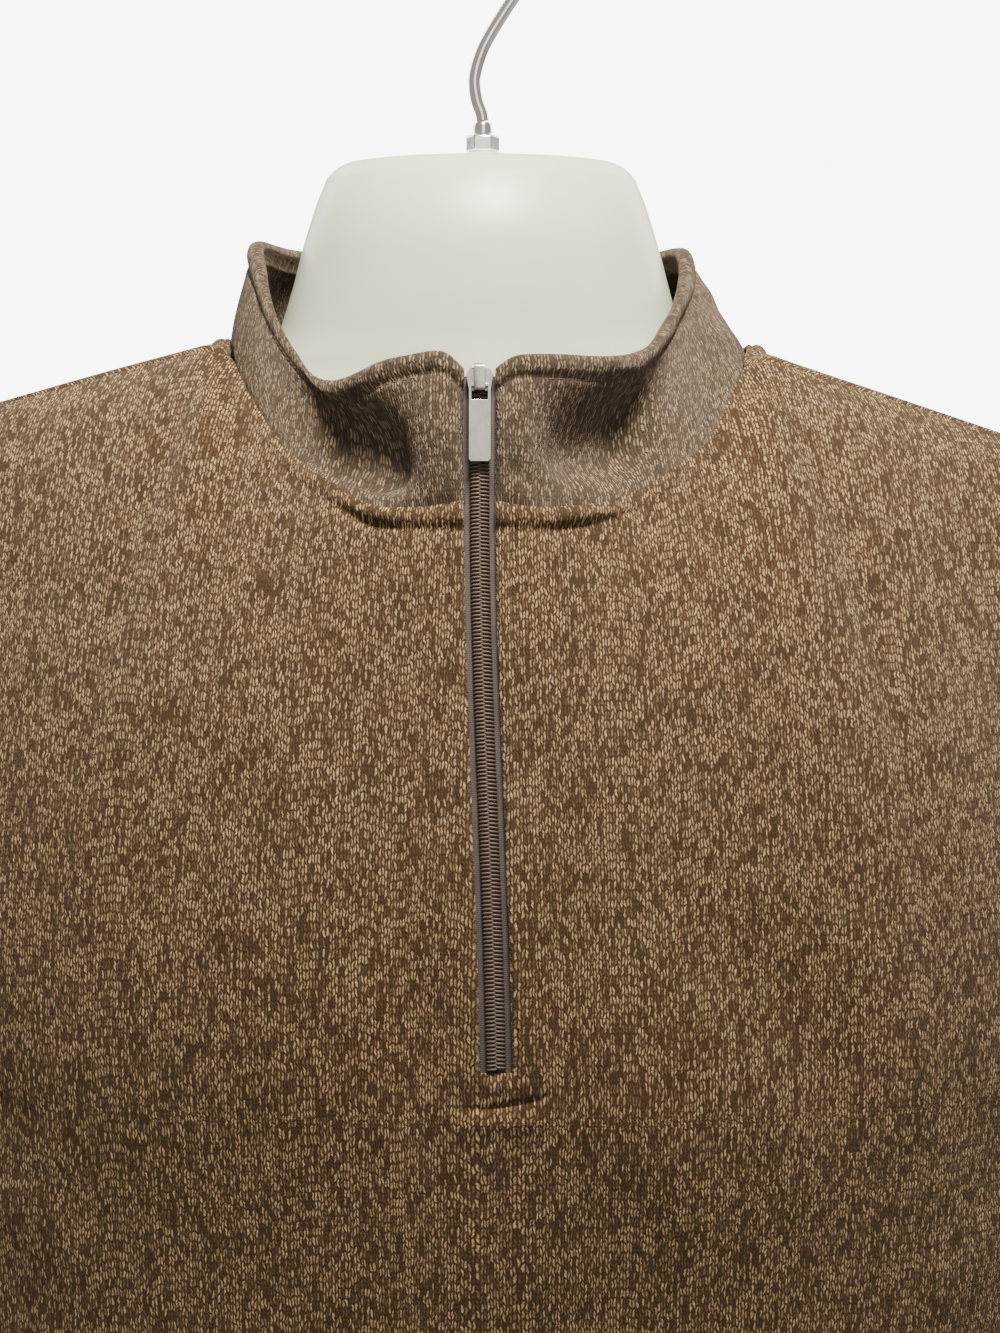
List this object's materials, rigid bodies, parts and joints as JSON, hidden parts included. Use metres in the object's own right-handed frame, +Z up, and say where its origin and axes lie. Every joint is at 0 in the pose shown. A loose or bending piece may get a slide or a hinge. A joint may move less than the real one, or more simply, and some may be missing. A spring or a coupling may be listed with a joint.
{
  "type": "quarter-zip sweater on a limbless torso form",
  "caption": "Marled knit quarter-zip sweater with a stand collar and set-in sleeves, worn on a limbless torso form with a wire hook; the zip's pull tab turns.",
  "frame": {"origin": "middle of the form's flat base, on the surface that it stands on", "axes": "+Z up, the zip and front face -Y, +X is the wearer's left"},
  "size_m": [0.612, 0.2738, 0.9332],
  "materials": {
    "marled_knit": "matt marled knit",
    "collar_knit": "matt marled knit, double",
    "zip_tape": "matt woven tape",
    "zip_coil": "satin",
    "satin_steel": "satin",
    "form_plastic": "smooth, slightly waxy",
    "chrome": "bright"
  },
  "bodies": {
    "sweater": {"front": "marled_knit", "back": "marled_knit", "collar": "collar_knit", "sleeve_left": "marled_knit", "sleeve_right": "marled_knit", "zip_tape_left": "zip_tape", "zip_tape_right": "zip_tape", "zip_chain": "zip_coil", "zip_slider": "satin_steel", "torso_form": "form_plastic", "hook_nut": "chrome", "hook_ring": "chrome", "hook_wire": "chrome"},
    "pull_tab": {"pull_tab": "satin_steel"}
  },
  "joints": [
    {"name": "tab_turn", "type": "hinge", "parent": "sweater", "child": "pull_tab", "pos_m": [-0.00231, -0.0909, 0.73224], "axis": [-1, 0, 0], "range_deg": [0, 150]}
  ]
}
